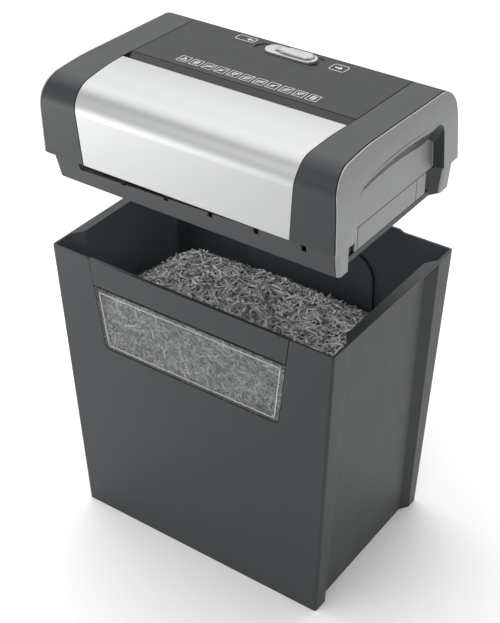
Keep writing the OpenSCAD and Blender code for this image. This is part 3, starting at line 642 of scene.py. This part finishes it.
def make_window_edge():
    """Painted shade line in the gap round the window pane, and a pale bead 5 mm inside it as the painted
    highlight on the pane's step.
    """
    pane, wall = tree_of("window_pane"), tree_of("bin_body", "window_bridge")
    low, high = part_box("window_pane")
    start_y = low.y - 50 * MM

    def front(x, z):
        """Depth of the pane where it isn't hidden by the bin's wall."""
        place = Vector((x, start_y, z))
        glass = pane.ray_cast(place, BACKWARD)[0]
        cover = wall.ray_cast(place, BACKWARD)[0]
        return glass.y if glass and (not cover or glass.y < cover.y) else None

    heights = [low.z + i * PROBE_STEP for i in range(int((high.z - low.z) / PROBE_STEP) + 1)]
    shown = [z for z in heights if front(0, z) is not None]
    bottom, top = shown[0], shown[-1]

    def half_width(z):
        """How far the visible pane reaches from its middle at one height."""
        reach = high.x
        while reach > 0 and front(reach, z) is None:
            reach -= PROBE_STEP
        return reach

    for name, inset, width, proud, material in (
        # painted shade: a black bead in the gap round the pane
        ("window_gap_shade", 0.5 * MM, 1.0 * MM, 0.06 * MM, "dark_print_and_gap_shade"),
        # painted highlight: a pale opaque bead along the pane's step
        ("window_step", 5.0 * MM, 0.8 * MM, 0.2 * MM, "painted_step_highlight"),
    ):
        span = top - bottom - 2 * inset
        right = []
        for i in range(EDGE_STEPS + 1):
            z = bottom + inset + span * (i / EDGE_STEPS) ** 2
            right.append((half_width(min(max(z - inset * 0.7, bottom), top)) - inset, z))
        outline = right + [(-x, z) for x, z in reversed(right)]
        line = [(x, front(x, z), z) for x, z in outline if front(x, z) is not None]
        link(name, mesh_of(name, [bead(line, width, proud)]), "bin", MATERIALS[material])


def bead(line, width, proud):
    """Closed strip that follows a line over a surface facing the front."""
    verts, faces = [], []
    count = len(line)
    for i, (x, y, z) in enumerate(line):
        before, after = line[i - 1], line[(i + 1) % count]
        along = Vector((after[0] - before[0], after[2] - before[2])).normalized()
        side = Vector((-along.y, along.x)) * (width / 2)
        verts += [(x - side.x, y + 0.3 * MM, z - side.y), (x - side.x, y - proud, z - side.y),
                  (x + side.x, y - proud, z + side.y), (x + side.x, y + 0.3 * MM, z + side.y)]
    for i in range(count):
        a, b = 4 * i, 4 * ((i + 1) % count)
        faces += [(a + j, a + (j + 1) % 4, b + (j + 1) % 4, b + j) for j in range(4)]
    return verts, faces


# ---------------------------------------------------------------- slide knob

KNOB_LENGTH = 52 * MM
KNOB_WIDTH = 17 * MM
BESIDE_KNOB_X = 0.08
SMOOTH_ANGLE = 35


def stadium_points(length, width, middle):
    """Round-ended outline about a middle, anticlockwise."""
    steps = 12
    r = width / 2
    reach = length / 2 - r
    points = []
    for sign, start in ((1, -90), (-1, 90)):
        for i in range(steps + 1):
            a = math.radians(start + 180 * i / steps)
            points.append((middle.x + sign * reach + r * math.cos(a), middle.y + r * math.sin(a)))
    return points


def store(shape, mesh):
    """Puts an edited shape back in its mesh, shaded smooth except across sharp corners."""
    mesh.clear_geometry()
    shape.to_mesh(mesh)
    shape.free()
    for face in mesh.polygons:
        face.use_smooth = True
    mesh.set_sharp_from_angle(angle=math.radians(SMOOTH_ANGLE))


def knob_base(middle, deck, top):
    """Round-ended base of the knob, with a rounded rim."""
    outline = stadium_points(KNOB_LENGTH, KNOB_WIDTH, middle)
    mesh = mesh_of("knob_base", [outline_prism(outline, deck - 0.6 * MM, top - 1.9 * MM)])
    shape = bmesh.new()
    shape.from_mesh(mesh)
    rim = [e for e in shape.edges if all(v.co.z > top - 2.4 * MM for v in e.verts)]
    bmesh.ops.bevel(shape, geom=rim, offset=0.9 * MM, segments=4, affect="EDGES", profile=0.6)
    store(shape, mesh)
    return mesh


def knob_plate(middle, top):
    """Raised finger plate whose left end slopes down. Its corners and rim are stepped inward."""
    half = KNOB_WIDTH / 2 - 2.4 * MM
    left, right = -17 * MM, KNOB_LENGTH / 2 - 3.4 * MM
    floor, crest = top - 2.4 * MM, top - 0.05 * MM
    profile = [(left, floor), (right, floor), (right - 1 * MM, crest), (left + 6 * MM, crest)]
    verts = [(middle.x + x, middle.y + side * half, z) for side in (-1, 1) for x, z in profile]
    faces = [(0, 1, 2, 3), (7, 6, 5, 4)] + [(i, i + 4, (i + 1) % 4 + 4, (i + 1) % 4) for i in range(4)]
    mesh = mesh_of("knob_plate", [(verts, faces)])
    shape = bmesh.new()
    shape.from_mesh(mesh)
    uprights = [e for e in shape.edges if abs(e.verts[0].co.z - e.verts[1].co.z) > 0.5 * MM]
    bmesh.ops.bevel(shape, geom=uprights, offset=2.5 * MM, segments=5, affect="EDGES")
    crown = [e for e in shape.edges if all(v.co.z > crest - 0.1 * MM for v in e.verts)]
    bmesh.ops.bevel(shape, geom=crown, offset=0.4 * MM, segments=3, affect="EDGES")
    store(shape, mesh)
    return mesh


def make_knob():
    """Silver knob with a finger plate, on a black stem that reaches down through the panel."""
    low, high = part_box("switch_slider")
    middle, top = (low + high) / 2, high.z
    deck = tree_of("control_panel").ray_cast(Vector((BESIDE_KNOB_X, middle.y, ABOVE_ALL)), DOWN)[0].z
    silver = MATERIALS["silver_paint"]
    knob = link("knob_base", knob_base(middle, deck, top), "slider", silver)
    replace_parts(knob, "switch_slider")
    link("knob_plate", knob_plate(middle, top), "slider", silver)
    outline = stadium_points(14 * MM, 7 * MM, middle)
    stem = mesh_of("knob_stem", [outline_prism(outline, low.z + 1.6 * MM, deck - 0.5 * MM)])
    link("knob_stem", stem, "slider", MATERIALS["black_plastic"])


# ---------------------------------------------------------------- run

make_camera()
make_stage()

CHARCOAL = (0.0225, 0.0265, 0.0285)
MATERIALS = {
    "charcoal_plastic": moulded_plastic("charcoal_plastic", CHARCOAL, 0.42),
    "panel_plastic": moulded_plastic("panel_plastic", (0.011, 0.013, 0.0145), 0.5),
    # painted light: the charcoal plastic made paler for the bin's inner walls
    "painted_inner_light": moulded_plastic("painted_inner_light", scaled(CHARCOAL, 4.2), 0.34),
    # painted highlight on the window pane's step
    "painted_step_highlight": moulded_plastic("painted_step_highlight", (0.42, 0.43, 0.43), 0.18),
    "grey_plastic": moulded_plastic("grey_plastic", (0.034, 0.037, 0.039), 0.42),
    "silver_paint": metal_paint("silver_paint", (0.4, 0.405, 0.41), 0.42),
    "cover_grey": metal_paint("cover_grey", (0.27, 0.275, 0.28), 0.42, 0.5),
    "clear_plastic": clear_plastic(),
    "paper": paper(),
    # painted shade: dark grey for the heap's core, seen in the gaps between strips
    "painted_heap_shade": moulded_plastic("painted_heap_shade", (0.045, 0.047, 0.05), 0.9),
    "print": moulded_plastic("print", (0.68, 0.69, 0.7), 0.5),
    # dark print for the panel dots, and painted shade in the gap round the window pane
    "dark_print_and_gap_shade": moulded_plastic("dark_print_and_gap_shade", (0.008, 0.008, 0.009), 0.5),
    "sheet_steel": worked_metal("sheet_steel", (0.62, 0.63, 0.65), 0.4, (1, 4, 4)),
    "steel": worked_metal("steel", (0.55, 0.55, 0.56), 0.3),
    "cutter_steel": worked_metal("cutter_steel", (0.4, 0.4, 0.41), 0.33),
    "brass": worked_metal("brass", (0.72, 0.5, 0.22), 0.35),
    "nylon": moulded_plastic("nylon", (0.72, 0.7, 0.62), 0.4),
    "black_plastic": moulded_plastic("black_plastic", (0.02, 0.02, 0.022), 0.4),
    "white_plastic": moulded_plastic("white_plastic", (0.78, 0.78, 0.76), 0.35),
    "board": moulded_plastic("board", (0.02, 0.13, 0.06), 0.3),
    "wire": moulded_plastic("wire", (0.35, 0.03, 0.02), 0.4),
    "rubber": moulded_plastic("rubber", (0.015, 0.015, 0.015), 0.7),
}
for node, slot in SLOT_OF.items():
    cad = NODES[node]
    cad.data.materials.clear()
    cad.data.materials.append(MATERIALS[slot])

for node, body, radius in (
    ("bin_body", "bin", 0.5 * MM),
    ("window_bridge", "bin", 0.3 * MM),
    ("window_pane", "bin", 0.4 * MM),
    ("upper_shell", "head", 0.35 * MM),
    ("control_panel", "head", 0.3 * MM),
    ("front_panel", "head", 0.5 * MM),
    ("right_side_cover", "head", 0.35 * MM),
    ("left_side_cover", "head", 0.35 * MM),
    ("lower_housing", "head", 0.5 * MM),
):
    is_cover = node.endswith("side_cover")
    piece = rounded_piece(node, body, radius, 55 if is_cover else 32)
    if is_cover:
        # painted shade on the walls of the hand recess
        paint_recess_shade(piece)
    if node == "bin_body":
        # painted light on the bin's inner walls
        paint_inner_wall_light(piece)

make_heap()
make_prints()
make_window_edge()
make_knob()
